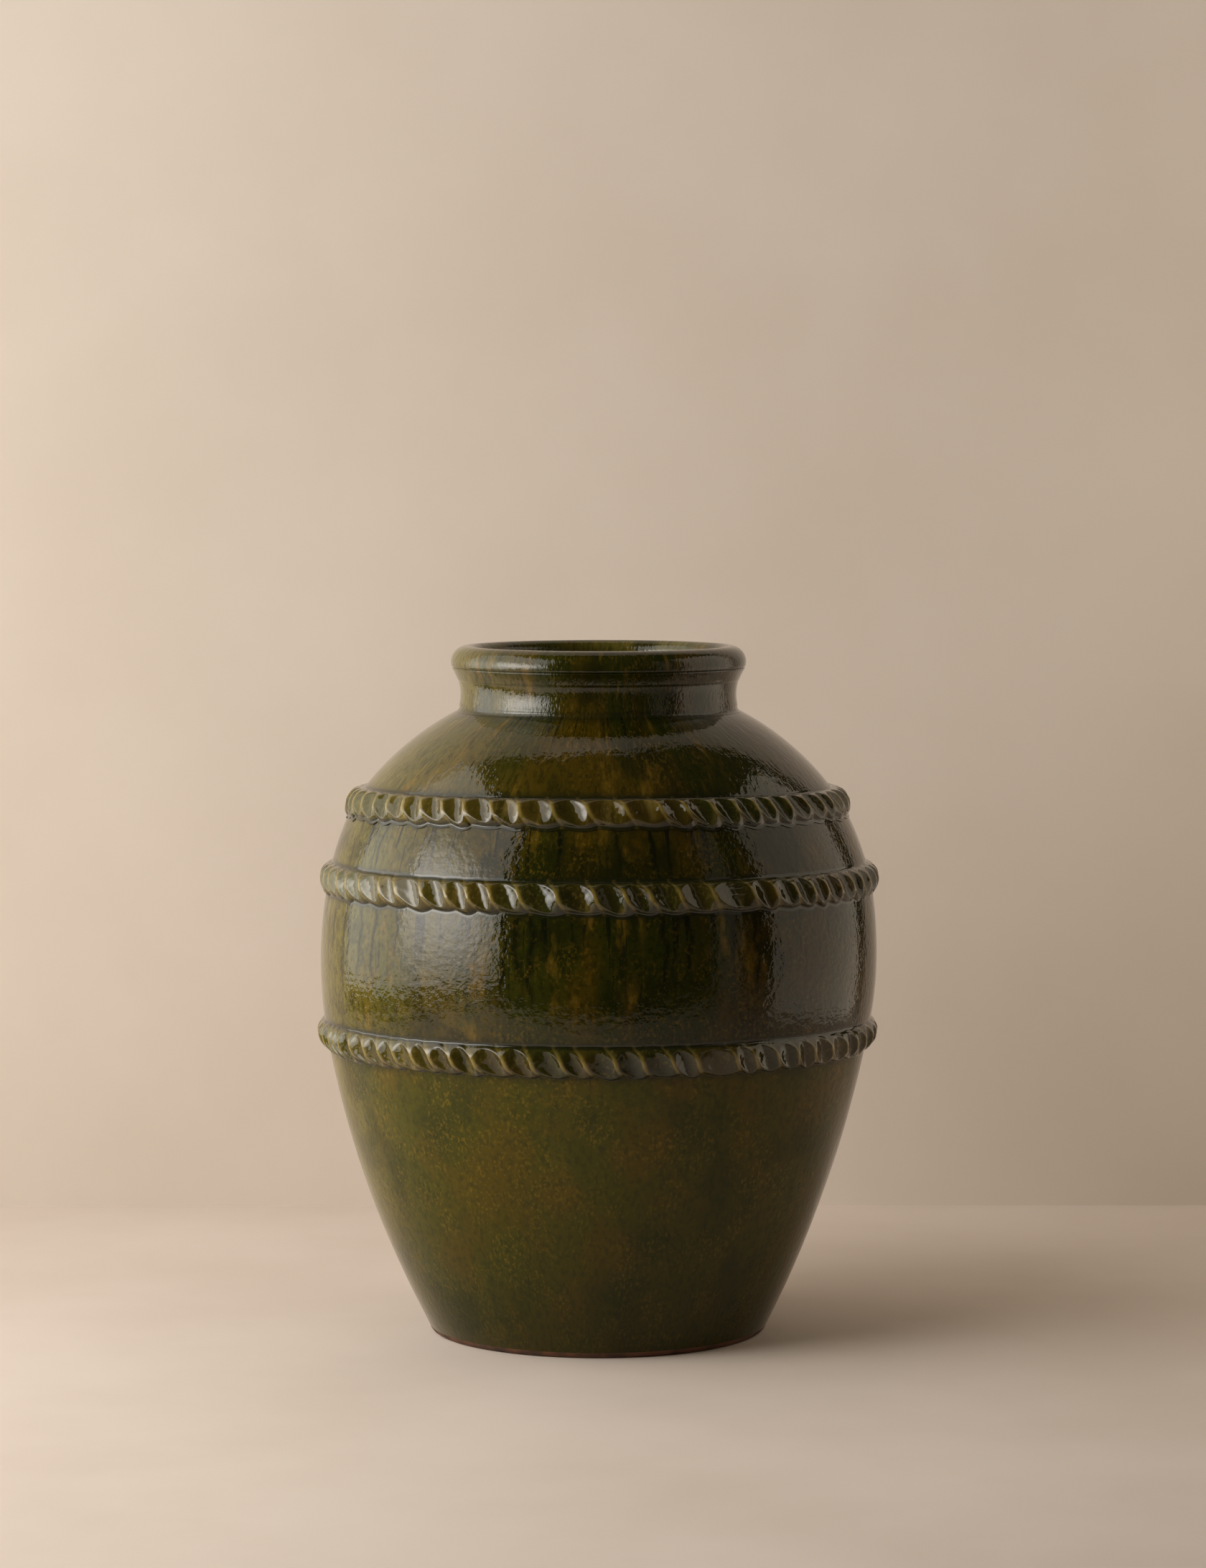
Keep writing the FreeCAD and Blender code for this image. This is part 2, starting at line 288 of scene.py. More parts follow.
bellyLook = {
    "green": "#1f2202", "amber": "#372a02", "deep": "#111402", "ochre": "#6e5518",
    # thin: a lighter glaze colour, partly painted light on the left side
    "thin": "#71682b", "run": "#070b04", "pooledAndFootShade": "#131608", "inside": "#241c07",
    "deepShare": 0.75, "dripShare": 0.7, "runShare": 1.0, "mottleShare": 0.5, "speckShare": 0.35,
    "poolAndFootShadeShare": 0.8, "breakShare": 0.0, "thinAndLitShare": 0.64, "streamShare": 0.9, "insideShare": 0.92,
    "peel": 0.30, "thrown": 0.06, "swell": 0.10,     # relief in mm: orange peel, throwing marks, swells
    "gloss": (0.008, 0.02), "ior": 1.4, "shift": 0.0,
    # size across in mm, how far drawn down the wall, detail and seed, then where a patch starts and
    # where it is full
    "amberPatches": (46, 2.4, 3.0, 0.0, 0.40, 0.62),
    "deepPatches": (60, 0.9, 4.0, 3.1, 0.48, 0.66),
    "dripPlaces": (42, 1.4, 2.0, 8.3, 0.46, 0.64),
    "drips": (11, 3.0, 4.0, 5.7, 0.50, 0.68),
    "hairs": (5.2, 13, 3.0, 1.9, 0.57, 0.63),
    "mottle": (4.0, 1.2, 6.0, 2.2, 0.44, 0.66),
    "speckPlaces": (30, 1.1, 3.0, 6.6, 0.38, 0.62),
    "specks": (2.2, 1.2, 4.0, 4.4, 0.48, 0.70),
    "peelNoise": (4.4, 1.0, 2.0, 9.1),
    "thrownNoise": (34, 0.075, 2.0, 7.7),
    "swellNoise": (15, 0.5, 1.0, 0.8),
    "glossNoise": (12, 1.0, 3.0, 2.7),
}
lowerLook = {
    **bellyLook,
    "green": "#3f3c07", "amber": "#4a3d08", "deep": "#272a06", "ochre": "#7c6319",
    "deepShare": 0.6, "dripShare": 0.12, "runShare": 0.1, "mottleShare": 0.5,
    "speckShare": 0.42, "amberPatches": (46, 1.1, 3.0, 0.0, 0.40, 0.62),
    # on the lower wall the pooled colour is mostly the painted shade toward the foot
    "pooledAndFootShade": "#171806", "poolAndFootShadeShare": 0.5, "gloss": (0.09, 0.16), "ior": 1.3, "shift": 5.0,
    "peel": 0.22,
}
coilLook = {
    **bellyLook,
    "green": "#292906", "amber": "#3e3107", "ochre": "#988343",
    "deepShare": 0.5, "dripShare": 0.3, "runShare": 0.0, "mottleShare": 0.3, "speckShare": 0.2,
    "poolAndFootShadeShare": 0.85, "breakShare": 0.6, "thinAndLitShare": 0.5, "peel": 0.12, "thrown": 0.0,
    "gloss": (0.008, 0.02), "ior": 1.52,
}
upperLook = {**bellyLook, "ior": 1.5}

bellyGlaze = jarGlaze("copperGreenGlaze", bellyLook)
lowerGlaze = jarGlaze("copperGreenGlazeThin", lowerLook)
coilGlaze = jarGlaze("copperGreenGlazeOverCoils", coilLook)
upperGlaze = jarGlaze("copperGreenGlazeUpper", upperLook)


def bareClay(name, look):
    # Red earthenware left unglazed where the jar stood in the kiln: matt, gritty and a little sooty.
    material = bpy.data.materials.new(name)
    tree = emptyTree(material)
    place = addNode(tree, "ShaderNodeTexCoord").outputs["Object"]
    clay, sooty = linearColour(look["clay"]), linearColour(look["sooty"])
    ground = addNode(tree, "ShaderNodeMix", {"data_type": "RGBA", 6: clay, 7: sooty},
                     {0: patches(tree, place, *look["sootPatches"])})
    bump = addNode(tree, "ShaderNodeBump", {"Strength": 1.0, "Distance": look["relief"] * mm},
                   {"Height": clouding(tree, place, *look["grit"])})
    skin = addNode(tree, "ShaderNodeBsdfPrincipled",
                   {"IOR": look["ior"], "Roughness": look["roughness"]},
                   {"Base Color": ground.outputs[2], "Normal": bump.outputs["Normal"]})
    addNode(tree, "ShaderNodeOutputMaterial", links={"Surface": skin.outputs["BSDF"]})
    return material


footLook = {
    "clay": "#5f3c26", "sooty": "#3c281a", "roughness": 0.8, "ior": 1.45, "relief": 0.12,
    "sootPatches": (14, 1.0, 4.0, 0.0, 0.35, 0.65), "grit": (0.9, 1.0, 2.0, 1.0),
}
footClay = bareClay("redEarthenware", footLook)
print("glazes ready")


# The coils: radius, height and lean of the joint under each, in mm and degrees; the bows are the radii
# of the walls below and above it; lift is how much higher it is laid at the front, settle how much
# lower all round; seen are the ridges that show, in degrees to the right of the front
coils = {
    "lower": {"radius": 181.6, "height": 202.5, "lean": 10.7, "bowBelow": 710.0, "bowAbove": 271.5,
              "presses": 66, "lift": 1.9, "settle": 1.0, "seed": 11,
              "seen": (-71, -68, -65, -59.5, -54, -49, -44.5, -39.5, -35, -30, -25, -18.5, -13, -7, -2.5,
                       3.5, 9, 15, 20, 28.5, 33, 38.5, 44, 49, 55, 61)},
    "middle": {"radius": 180.8, "height": 307.0, "lean": -12.1, "bowBelow": 271.5, "bowAbove": 187.4,
               "presses": 63, "lift": 2.2, "settle": 1.0, "seed": 12,
               "seen": (-68, -63, -57, -50, -45, -38, -32, -27, -22, -16, -8.5, -1, 5, 10, 16, 23, 32,
                        37.5, 43, 48, 52.5, 57.5, 63, 68)},
    "upper": {"radius": 161.4, "height": 358.0, "lean": -32.3, "bowBelow": 187.4, "bowAbove": 184.3,
              "presses": 57, "lift": 5.0, "settle": 2.0, "seed": 13,
              "seen": (-56, -50, -44, -37.5, -31.5, -24.5, -18, -10.3, -2.5, 6, 14, 20, 26.5, 32.5, 38,
                       43, 48.5, 55)},
}
coilShape = {
    "half": 9.25,            # half the width of a coil along the wall
    "depth": 6.3,            # how far it stands out
    "reach": 11.6,           # the smear of slip beside it ends here
    "fillet": 1.7,           # glaze drawn up into the corner beside the coil
    "smear": 2.5,            # how steeply its edge runs in under the slip
    "sunk": 1.6,             # underside, sunk into the wall
    "under": 0.7,            # deeper than this share of it, a point belongs to the underside
    "row": 0.62,             # rows of facets across the coil
    "moreRows": 12,          # and more of them for its arch
    "finer": 6,              # its section is drawn this much finer before the rows are spaced out
    "spun": 4,               # facets along one press as the coil is spun
    "columns": 28,           # facets along one press when it is cut finer
    "ease": 0.5,             # how much closer they lie at a ridge
    "stray": 0.12,           # how far a hidden ridge is off its even place, in presses
    "slant": (3.4, 0.9),     # a ridge from the middle to the edge, and how much it varies
    "curl": (3.4, 0.9),      # how much further its ends trail
    "trail": 35.0,           # degrees that a ridge leans, for the width of a press
    "scoop": (0.60, 0.09),   # share of the coil pressed away in the middle of a press
    "squeeze": (1.9, 0.9),   # clay squeezed out at the lower edge of a press
    "squeezed": (0.1, -0.9),     # where across the coil it begins and is full
    "spread": 0.35,          # the same at the upper edge
    "spreading": (0.3, 0.95),
    "flatEdge": 0.9,         # rounding between a press and the coil's own roundness
    "skew": 1.35,            # over 1, a press is deepest to the right of its middle
    "ridge": 0.35,           # rounding of a ridge under its glaze
    "lump": 0.16,            # unevenness of the pressed clay, waves per mm round and up the coil
    "lumps": ((0.55, 0.9, 0.3), (-0.8, 0.6, 1.7), (1.3, -1.1, 4.1), (0.21, 0.5, 2.2)),
    "breakWidth": 0.7,       # the glaze breaks this wide on a ridge
    "breakEnd": 1.15,        # and fades toward the edges of the coil
    "poolEdge": (0.86, 1.0),     # it gathers from here to the edge of the coil
    "poolPress": 0.2,        # and a little in the middle of a press
}


def coilLift(coil, angle):
    # the coil is laid a little higher at the front
    return coil["lift"] * ((1 + np.cos(angle)) / 2) ** 2 - coil["settle"]


def wallDrop(coil, along):
    # how far the wall curves away from the flat of the joint
    return -along ** 2 / (2 * np.where(along < 0, coil["bowBelow"], coil["bowAbove"]))


def coilSection(coil):
    # half round over the wall with the slip drawn up to it, closed by the sunk underside
    half, depth = coilShape["half"], coilShape["depth"]
    bow = (half ** 2 + depth ** 2) / (2 * depth)
    count = round(2 * coilShape["reach"] / coilShape["row"])
    along = np.linspace(-coilShape["reach"], coilShape["reach"], coilShape["finer"] * count)
    domed = np.sqrt(np.clip(bow ** 2 - along ** 2, 0, None)) - (bow - depth)
    beyond = np.abs(along) > half
    domed[beyond] = -(np.abs(along[beyond]) - half) * coilShape["smear"]
    wall = wallDrop(coil, along)
    gap = np.clip(coilShape["fillet"] - np.abs(domed - wall), 0, None)
    outward = np.maximum(domed, wall) + gap ** 2 / (4 * coilShape["fillet"])
    walked = np.concatenate(([0], np.cumsum(np.hypot(np.diff(along), np.diff(outward)))))
    even = np.linspace(0, walked[-1], count + coilShape["moreRows"])
    along, outward = np.interp(even, walked, along), np.interp(even, walked, outward)
    along = np.concatenate((along, (coilShape["reach"], -coilShape["reach"])))
    outward = np.concatenate((outward, (-coilShape["sunk"],) * 2))
    lean = math.radians(coil["lean"])
    return [(coil["radius"] + a * math.sin(lean) + o * math.cos(lean),
             coil["height"] + a * math.cos(lean) - o * math.sin(lean)) for a, o in zip(along, outward)]


def pressedCoil(name, coil):
    lean = math.radians(coil["lean"])
    presses, columns = coil["presses"], coilShape["columns"]
    spun = coilShape["spun"]
    mesh = turnedMesh(name, coilSection(coil), presses * spun, columns // spun - 1)
    angle, radius, height = meshPoints(mesh)
    along = (radius - coil["radius"]) * math.sin(lean) + (height - coil["height"]) * math.cos(lean)
    outward = (radius - coil["radius"]) * math.cos(lean) - (height - coil["height"]) * math.sin(lean)

    # the ridges that show are where they are on the jar, and the rest follow round the back
    chance = np.random.RandomState(coil["seed"])
    seen = np.radians(coil["seen"])
    unseen = presses - len(seen)
    behind = np.linspace(seen[-1], seen[0] + 2 * math.pi, unseen + 2)[1:-1]
    behind += chance.uniform(-coilShape["stray"], coilShape["stray"], unseen) * 2 * math.pi / presses
    ridges = np.concatenate((seen, behind, [seen[0] + 2 * math.pi]))

    def varied(key):
        middle, spread = coilShape[key]
        values = middle + spread * chance.uniform(-1, 1, presses)
        return np.append(values, values[0])

    slant, curl, scoop, squeeze = (varied(key) for key in ("slant", "curl", "scoop", "squeeze"))
    column = np.rint(angle / (2 * math.pi) * presses * columns).astype(int) % (presses * columns)
    press, through = column // columns, column % columns / columns
    across = np.clip(along / coilShape["half"], -1, 1)
    crown = coil["radius"] + coilShape["depth"]
    left = ridges[press] - (slant[press] * across + curl[press] * across ** 3) / crown
    right = ridges[press + 1] - (slant[press + 1] * across + curl[press + 1] * across ** 3) / crown
    eased = through - coilShape["ease"] * np.sin(2 * math.pi * through) / (2 * math.pi)
    angle = left + eased * (right - left)

    width = (right - left) * crown * math.cos(math.radians(coilShape["trail"]))
    skewed = eased ** coilShape["skew"]
    fromRidge = width * np.minimum(skewed, 1 - skewed)
    rounded = np.hypot(fromRidge, coilShape["ridge"]) - coilShape["ridge"]
    bowl = np.clip(rounded / (width / 2), 0, 1)
    bowl = bowl * (2 - bowl)

    top = outward > -coilShape["sunk"] * coilShape["under"]
    standing = outward - wallDrop(coil, along)
    lumps = sum(np.cos(around * angle * crown + upward * along + start)
                for around, upward, start in coilShape["lumps"]) / len(coilShape["lumps"])
    flat = coilShape["depth"] * (1 - scoop[press] * bowl)
    own = np.clip(0.5 + (flat - standing) / (2 * coilShape["flatEdge"]), 0, 1)
    standing = standing * own + flat * (1 - own) - coilShape["flatEdge"] * own * (1 - own)
    standing += coilShape["lump"] * lumps * np.clip(standing, 0, 1) * np.clip(1 - np.abs(across), 0, 1)
    along = (along - squeeze[press] * bowl * smoothStep(*coilShape["squeezed"], across)
             + coilShape["spread"] * bowl * smoothStep(*coilShape["spreading"], across))
    along = along + coilLift(coil, angle)
    outward = np.where(top, wallDrop(coil, along) + standing, outward)

    paint(mesh, "glazeBreak", np.exp(-(fromRidge / coilShape["breakWidth"]) ** 2)
          * np.clip(coilShape["breakEnd"] - np.abs(across), 0, 1))
    paint(mesh, "glazePoolAndFootShade", np.clip(smoothStep(*coilShape["poolEdge"], np.abs(across))
                                     + coilShape["poolPress"] * bowl, 0, 1))
    # painted light on the side the left lamps face, partly also thinner glaze
    paint(mesh, "thinGlazeAndLitSide", thinnessAndLitSide(angle))
    placePoints(mesh, angle, coil["radius"] + along * math.sin(lean) + outward * math.cos(lean),
                coil["height"] + along * math.cos(lean) - outward * math.sin(lean))
    return mesh


for place, coil in coils.items():
    mesh = pressedCoil(f"{place}_coil_pressed", coil)
    finishPiece(mesh, f"{place}_rope_band", coilGlaze)


# The thrown rings, from joint to joint

def coilEdge(place, side):
    coil = coils[place]
    lean = math.radians(coil["lean"])
    return coil["height"] + side * coilShape["half"] * math.cos(lean)


# Dark runs under the middle and the upper coil: the height where they start, and of those that show
# the degrees to the right of the front, length and width in mm
runTops = {"middle": 299, "upper": 349}
seenRuns = {
    "middle": ((-19, 62, 1.7), (-16.5, 48, 2.8), (-13.5, 66, 2.2), (-11, 22, 1.6), (-3, 26, 1.0),
               (13, 56, 1.6), (15.5, 28, 2.2), (18, 48, 1.4), (28, 34, 1.2), (33, 60, 1.5),
               (-62, 44, 1.4), (-57, 54, 1.2), (-52, 62, 1.6), (-45, 40, 1.2), (-38, 34, 1.3)),
    "upper": ((-17, 36, 1.8), (4, 26, 1.3), (12, 34, 1.2), (-8, 18, 1.4), (-38, 30, 1.3),
              (-55, 34, 1.2), (24, 22, 1.3)),
}
hiddenRuns = {"count": 34, "seed": 5, "side": (75, 285), "length": (14, 60), "width": (1.0, 2.4)}
runShape = {
    # mm that a run strays to the side, how slowly, and how its start differs from run to run
    "wavers": ((1.3, 7.0, 1), (0.8, 3.1, 2)),
    "start": -0.15,          # it starts this share of its length up under the coil
    "tip": 0.7,              # and fades from here
    "taper": (1.15, 0.4),    # its width at the start, and how much of it is gone at the tip
}


def darkRuns(angle, radius, height):
    # a run wavers on its way down, thins and ends in a soft tip
    chance = np.random.RandomState(hiddenRuns["seed"])
    runs = [(side, runTops[place], length, width) for place in seenRuns
            for side, length, width in seenRuns[place]]
    runs += [(chance.uniform(*hiddenRuns["side"]), chance.choice(tuple(runTops.values())),
              chance.uniform(*hiddenRuns["length"]), chance.uniform(*hiddenRuns["width"]))
             for _ in range(hiddenRuns["count"])]
    run = np.zeros_like(height)
    for side, top, length, width in runs:
        way = (top - height) / length
        waver = sum(size * np.sin(height / slow + start * side)
                    for size, slow, start in runShape["wavers"])
        off = np.angle(np.exp(1j * (angle - math.radians(side)))) * radius - waver
        tip = (way > runShape["start"]) * (1 - smoothStep(runShape["tip"], 1.0, way))
        full, gone = runShape["taper"]
        run = np.maximum(run, tip * np.exp(-(off / (width * (full - gone * np.clip(way, 0, 1)))) ** 2))
    return run


gathering = {
    "over": 3.0,             # mm that dark glaze reaches above and below a coil
    "under": 3.5,
    "covered": -4.0,         # and it starts this far in under the coil
    "hairs": 42.0,           # mm that hair-thin runs reach below a coil
    # height, reach and strength in the creases under the neck and the rim
    "creases": ((jar["neckRoot"], 3.4, 0.7), (445.8, 2.2, 0.35)),
    "neckHairs": 16.0,       # hair-thin runs below the neck, and the height where they end
    "neckHairsEnd": 380.0,
    "foot": 78.0,            # the wall is painted darker toward the foot: painted shade near the floor
    "narrow": 3.0,           # power that narrows the thin, painted-light side below the lower coil
}


def paintWall(mesh, angle, radius, height, outside):
    # dark glaze gathers beside each coil and in the creases, runs start under the coils, the wall is
    # painted darker toward the foot as painted shade, and the left side is painted lighter as painted
    # light partly over thinner glaze
    poolAndFootShade = np.zeros_like(height)
    wet = np.zeros_like(height)
    for place, coil in coils.items():
        lifted = coilLift(coil, angle)
        over = height - (coilEdge(place, 1) + lifted)
        under = coilEdge(place, -1) + lifted - height
        for off, reach in ((over, gathering["over"]), (under, gathering["under"])):
            gathered = np.exp(-(np.clip(off, 0, None) / reach) ** 2)
            poolAndFootShade = np.maximum(poolAndFootShade, np.where(off > gathering["covered"], gathered, 0))
        hairs = np.exp(-np.clip(under, 0, None) / gathering["hairs"])
        wet = np.maximum(wet, np.where(under > gathering["covered"], hairs, 0))
    for crease, reach, strength in gathering["creases"]:
        poolAndFootShade = np.maximum(poolAndFootShade, strength * np.exp(-((height - crease) / reach) ** 2))
    neck = jar["neckRoot"]
    hairs = np.exp(-np.clip(neck - height, 0, None) / gathering["neckHairs"])
    wet = np.maximum(wet, hairs * (height > gathering["neckHairsEnd"]) * (height < neck))
    # painted shade: the wall darker toward the foot
    poolAndFootShade = np.maximum(poolAndFootShade, np.exp(-(height / gathering["foot"]) ** 2))
    paint(mesh, "glazePoolAndFootShade", poolAndFootShade * outside)
    paint(mesh, "belowCoil", wet * outside)
    paint(mesh, "darkRun", darkRuns(angle, radius, height) * outside)
    paint(mesh, "insideWall", 1 - outside)
    # painted light on the side the left lamps face, partly also thinner glaze, narrower below the lower
    # coil
    below = height < coils["lower"]["height"]
    paint(mesh, "thinGlazeAndLitSide", thinnessAndLitSide(angle) ** np.where(below, gathering["narrow"], 1))


def thrownRing(node, ring):
    # its outside and inside are runs of (across, up, bow) from the bottom up, closed at the ends
    def walk(run, row):
        points = []
        for (across, up, bow), (nextAcross, nextUp, _) in zip(run, run[1:]):
            if bow:
                points += bowedEdge((across, up), (nextAcross, nextUp), bow, row)
            else:
                points.append((across, up))
        return points + [run[-1][:2]]
    outside = walk(ring["outer"], ring["row"])
    inside = walk(ring["inner"], jar["insideRow"])
    mesh = turnedMesh(ring["name"], outside + inside[::-1], jar["turns"], ring["cuts"])
    angle, radius, height = meshPoints(mesh)
    line = sorted(outside, key=lambda point: point[1])
    outerRadius = np.interp(height, [up for _, up in line], [across for across, _ in line])
    middle = outerRadius - jar["wall"] / 2
    paintWall(mesh, angle, radius, height, (radius > middle).astype(float))
    placePoints(mesh, angle, radius, height)
    finishPiece(mesh, node, ring["glaze"])


def joint(place, inward=0.0):
    coil = coils[place]
    lean = math.radians(coil["lean"])
    return coil["radius"] - inward * math.cos(lean), coil["height"] + inward * math.sin(lean)


wall = jar["wall"]
foot = jar["foot"]
footInside = foot[0] - wall
lowerBow, bellyBow = coils["lower"]["bowBelow"], coils["lower"]["bowAbove"]
shoulderBow, upperBow = coils["upper"]["bowBelow"], coils["upper"]["bowAbove"]

# The row is the size of a facet along the outside, and the cuts make the facets finer round the jar
rings = {
    "lower_wall": {
        "name": "lower_wall_thrown", "glaze": lowerGlaze, "row": 2.4, "cuts": 0,
        "outer": [(*foot, lowerBow), (*joint("lower"), None)],
        "inner": [(footInside, foot[1], None), (footInside, jar["floor"], lowerBow - wall),
                  (*joint("lower", wall), None)]},
    "belly_wall": {
        "name": "belly_thrown", "glaze": bellyGlaze, "row": 2.0, "cuts": 2,
        "outer": [(*joint("lower"), bellyBow), (*joint("middle"), None)],
        "inner": [(*joint("lower", wall), bellyBow - wall), (*joint("middle", wall), None)]},
    "lower_shoulder": {
        "name": "lower_shoulder_thrown", "glaze": bellyGlaze, "row": 1.6, "cuts": 2,
        "outer": [(*joint("middle"), shoulderBow), (*joint("upper"), None)],
        "inner": [(*joint("middle", wall), shoulderBow - wall), (*joint("upper", wall), None)]},
    "upper_shoulder": {
        "name": "upper_shoulder_thrown", "glaze": upperGlaze, "row": 1.6, "cuts": 0,
        "outer": [(*joint("upper"), upperBow), (93.5, jar["neckRoot"], None)],
        "inner": [(*joint("upper", wall), upperBow - wall), (jar["throat"], jar["throatFoot"], None),
                  (jar["throat"], jar["neckRoot"], None)]},
    "neck_collar": {
        "name": "neck_thrown", "glaze": upperGlaze, "row": 0.8, "cuts": 0,
        "outer": [(95.2, 416.2, -3.5), (92.9, 420.6, -31.0), (93.5, 437.0, None),
                  (94.0, 437.5, -40.0), (97.7, 445.0, 1.4), (97.2, jar["rimRoot"], None)],
        "inner": [(jar["throat"], jar["neckRoot"], None), (jar["throat"], jar["rimRoot"], None)]},
    "rim_roll": {
        "name": "rim_rolled", "glaze": upperGlaze, "row": 0.7, "cuts": 0,
        "outer": [(97.2, jar["rimRoot"], 1.2), (98.2, 446.9, 14.0), (98.5, 449.2, 10.8),
                  (87.7, 460.0, 7.7), (jar["throat"], 452.3, None)],
        "inner": [(jar["throat"], jar["rimRoot"], None), (jar["throat"], 452.2, None)]},
}
for node, ring in rings.items():
    thrownRing(node, ring)

base = {
    "middle": 60.0,          # points halfway out on the flat underside
    "flat": 109.6,           # it is flat up to here
    "round": 6.0,            # radius of its edge
    "row": 0.8,              # rows of facets on the edge
}
baseMesh = turnedMesh("base_bare", [
    (0, 0), (base["middle"], 0), *bowedEdge((base["flat"], 0), foot, base["round"], base["row"]),
    foot, (footInside, foot[1]), (footInside, jar["floor"]), (0, jar["floor"])], jar["turns"])
placePoints(baseMesh, *meshPoints(baseMesh))
finishPiece(baseMesh, "base_slab", footClay)


# Studio

plaster = {
    "clouds": (260, 1.0, 4.0, 0.0, 0.3, 0.7), "trowelMarks": (60, 1.0, 6.0, 0.0),
    "relief": 0.5, "ior": 1.4,
}


def plainPlaster(name, look):
    # Trowelled plaster painted a warm beige: matt, with faint clouds and trowel marks.
    material = bpy.data.materials.new(name)
    tree = emptyTree(material)
    place = addNode(tree, "ShaderNodeTexCoord").outputs["Object"]
    light, dark = linearColour(look["light"]), linearColour(look["dark"])
    paintCoat = addNode(tree, "ShaderNodeMix", {"data_type": "RGBA", 6: light, 7: dark},
                        {0: patches(tree, place, *plaster["clouds"])})
    bump = addNode(tree, "ShaderNodeBump", {"Strength": 1.0, "Distance": plaster["relief"] * mm},
                   {"Height": clouding(tree, place, *plaster["trowelMarks"])})
    skin = addNode(tree, "ShaderNodeBsdfPrincipled",
                   {"Roughness": look["roughness"], "IOR": plaster["ior"]},
                   {"Base Color": paintCoat.outputs[2], "Normal": bump.outputs["Normal"]})
    surface = skin.outputs["BSDF"]
    if look["oneSided"]:
        facing = addNode(tree, "ShaderNodeNewGeometry").outputs["Backfacing"]
        clear = addNode(tree, "ShaderNodeBsdfTransparent")
        surface = addNode(tree, "ShaderNodeMixShader",
                          links={0: facing, 1: surface, 2: clear.outputs[0]}).outputs[0]
    addNode(tree, "ShaderNodeOutputMaterial", links={"Surface": surface})
    return material


studio = {
    "floor": ((-1.14, -1.0, 0.0), (3.0, -1.0, 0.0), (3.0, 5.0, 0.0), (-1.14, 5.0, 0.0)),
    "backdrop": ((-0.92, 0.5, 0.0), (0.6, 0.5, 0.0), (0.6, 0.5, 4.5), (-0.92, 0.5, 4.5)),
    "floorLook": {"light": "#d8cbc0", "dark": "#d1c3b7", "roughness": 0.75, "oneSided": False},
    "backdropLook": {"light": "#d4c8bc", "dark": "#cfc2b5", "roughness": 0.8, "oneSided": True},
    # turns in degrees, size in metres, bright and dim the radiance in the glow and far from it, and the
    # glow a spot with its reach; a lamp without a glow is bright all over
    "lamps": {
        "leftScrim": {"place": (-1.2, -0.79, 1.13), "turn": (0, -90, 0), "size": (2.12, 1.32),
                      "tint": "#fffbf4", "bright": 8.2, "dim": 2.0,
                      "glow": ((-1.2, -0.55, 0.58), 0.62), "mirrored": True},
        "leftScrimBack": {"place": (-1.2, 0.31, 1.13), "turn": (0, -90, 0), "size": (2.12, 0.88),
                          "tint": "#fffbf4", "bright": 2.9, "dim": 1.5,
                          "glow": ((-1.2, -0.1, 0.5), 0.8), "mirrored": True},
        "rightScrim": {"place": (0.9, 0.15, 0.65), "turn": (0, 90, 0), "size": (1.3, 1.0),
                       "tint": "#ffeed6", "bright": 0.8, "dim": 0.76,
                       "glow": ((0.9, 0.0, 0.5), 1.0), "mirrored": True},
        "upperWash": {"place": (-0.5, -0.6, 3.5), "turn": (92, 0, 0), "size": (1.2, 0.8),
                      "tint": "#fffcf8", "bright": 6.0, "mirrored": False},
        "rightStrip": {"place": (1.2, -0.965, 0.825), "turn": (0, 90, 0), "size": (1.65, 0.37),
                       "tint": "#ffeed6", "bright": 0.24, "mirrored": True},
        "wash": {"place": (-1.5, -1.5, 2.3), "turn": (47.6, 0, -43.2), "size": (1.4, 1.4),
                 "tint": "#fffcf8", "bright": 3.0, "mirrored": False},
    },
    "glowShape": (1.0, 0.55, 1.0),       # the bright middle of a scrim is drawn out level
    "room": (0.05, 0.04, 0.025),
    "background": "#c6b5a4",
}

for name in ("floor", "backdrop"):
    mesh = bpy.data.meshes.new(name)
    bm = bmesh.new()
    bm.faces.new([bm.verts.new(corner) for corner in studio[name]])
    bm.to_mesh(mesh)
    bm.free()
    mesh.materials.append(plainPlaster(f"{name}Plaster", studio[f"{name}Look"]))
    sheet = bpy.data.objects.new(name, mesh)
    bpy.context.scene.collection.objects.link(sheet)

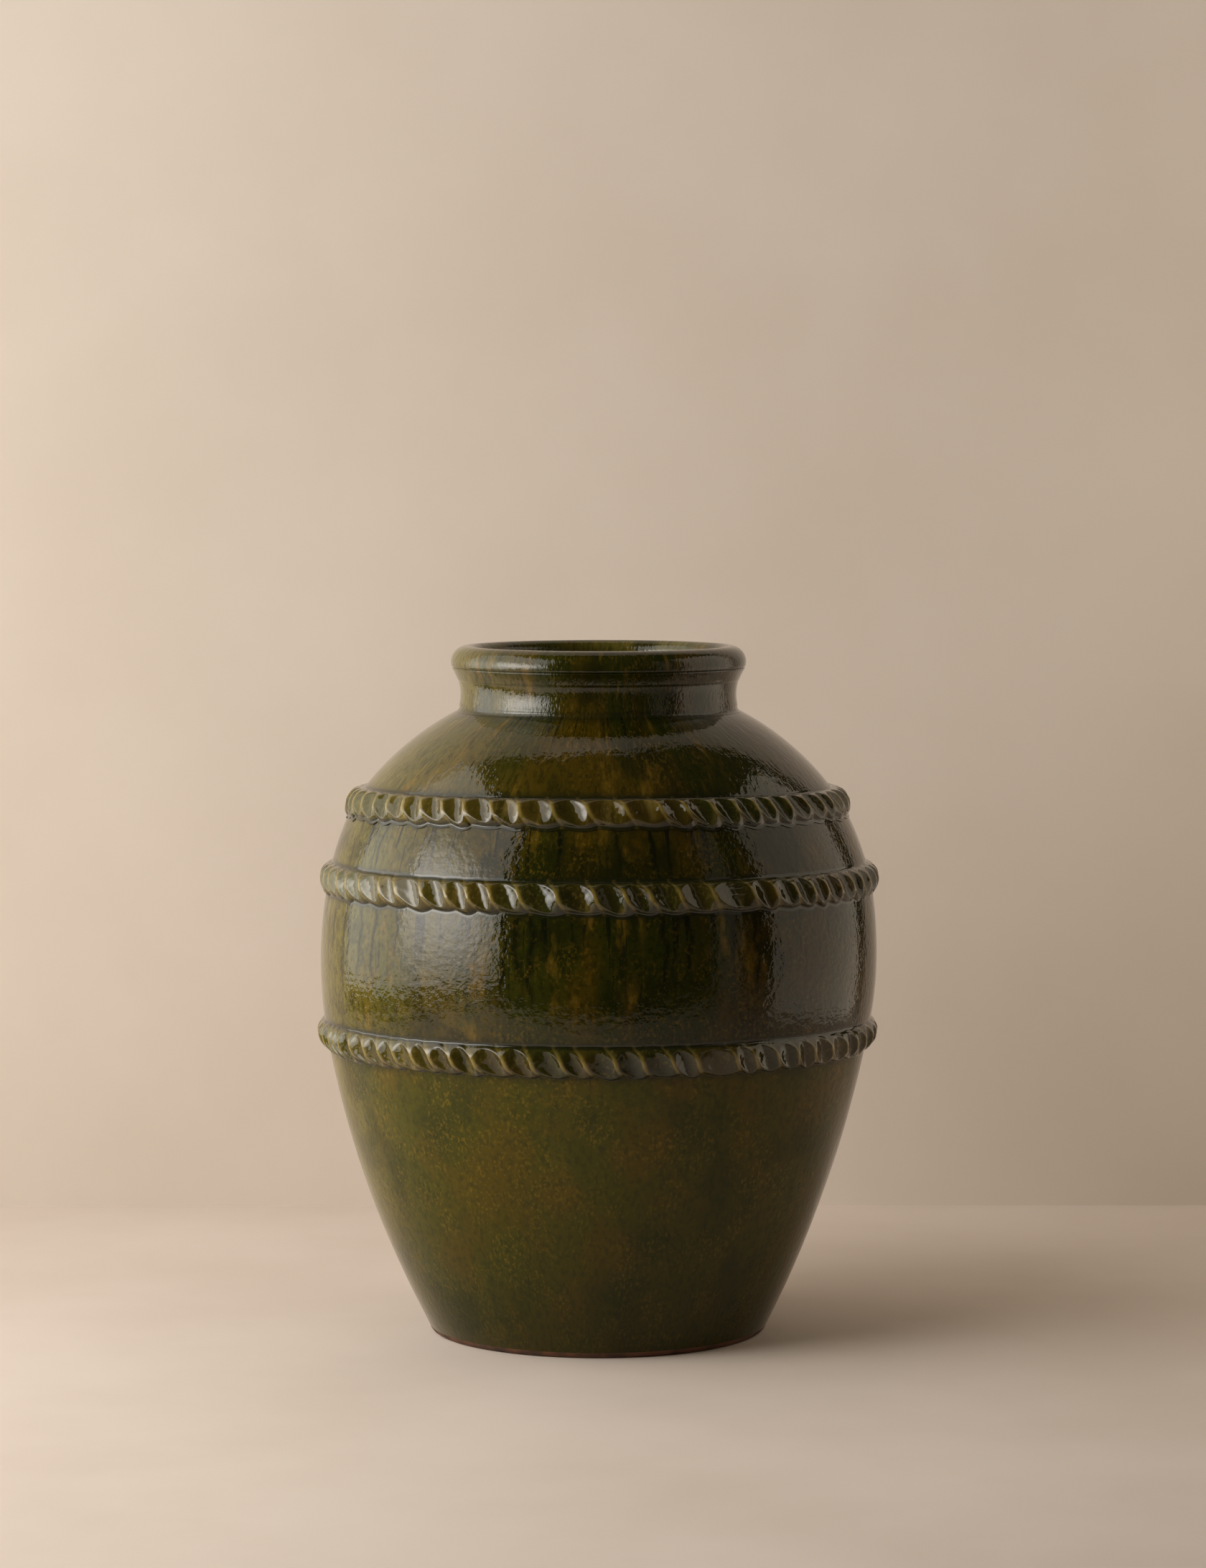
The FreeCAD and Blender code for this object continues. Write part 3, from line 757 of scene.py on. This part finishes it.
for name, lamp in studio["lamps"].items():
    light = bpy.data.lights.new(name, "AREA")
    light.shape = "RECTANGLE"
    light.size, light.size_y = lamp["size"]
    light.energy = math.pi * light.size * light.size_y   # a radiance of 1, which the nodes scale
    lit = emptyTree(light)
    shine = addNode(lit, "ShaderNodeEmission",
                    {"Color": linearColour(lamp["tint"]), "Strength": lamp["bright"]})
    addNode(lit, "ShaderNodeOutputLight", links={"Surface": shine.outputs["Emission"]})
    if "glow" in lamp:
        spot, reach = lamp["glow"]
        where = addNode(lit, "ShaderNodeNewGeometry").outputs["Position"]
        shifted = addNode(lit, "ShaderNodeVectorMath", {"operation": "SUBTRACT", 1: spot}, {0: where})
        squashed = addNode(lit, "ShaderNodeVectorMath",
                           {"operation": "MULTIPLY", 1: studio["glowShape"]}, {0: shifted.outputs[0]})
        away = addNode(lit, "ShaderNodeVectorMath", {"operation": "LENGTH"}, {0: squashed.outputs[0]})
        glow = addNode(lit, "ShaderNodeMapRange",
                       {"interpolation_type": "SMOOTHERSTEP", "From Max": reach,
                        "To Min": lamp["bright"], "To Max": lamp["dim"]},
                       {"Value": away.outputs["Value"]})
        lit.links.new(glow.outputs["Result"], shine.inputs["Strength"])
    holder = bpy.data.objects.new(name, light)
    holder.location = lamp["place"]
    holder.rotation_euler = [math.radians(turn) for turn in lamp["turn"]]
    holder.visible_camera = False
    holder.visible_glossy = lamp["mirrored"]
    bpy.context.scene.collection.objects.link(holder)

world = bpy.data.worlds.new("studioRoom")
bpy.context.scene.world = world
air = emptyTree(world)
seenDirect = addNode(air, "ShaderNodeLightPath").outputs["Is Camera Ray"]
room, behindAll = (*studio["room"], 1), linearColour(studio["background"])
roomLight = addNode(air, "ShaderNodeMix", {"data_type": "RGBA", 6: room, 7: behindAll}, {0: seenDirect})
background = addNode(air, "ShaderNodeBackground", {"Strength": 1.0}, {"Color": roomLight.outputs[2]})
addNode(air, "ShaderNodeOutputWorld", links={"Surface": background.outputs[0]})
print("studio ready")

camera = {
    "lens": 107.1,                       # mm, for a sensor 36 mm along the long side
    "sensor": 36.0,
    "place": (0.0029, -3.1149, 0.5959),
    "turn": (85.8, 0, 0),
}
shot = bpy.data.cameras.new("camera")
shot.sensor_width = camera["sensor"]
shot.lens = camera["lens"]
shot.dof.use_dof = False
stand = bpy.data.objects.new("camera", shot)
stand.location = camera["place"]
stand.rotation_euler = [math.radians(turn) for turn in camera["turn"]]
bpy.context.scene.collection.objects.link(stand)
bpy.context.scene.camera = stand
bpy.context.scene.view_settings.view_transform = "Standard"
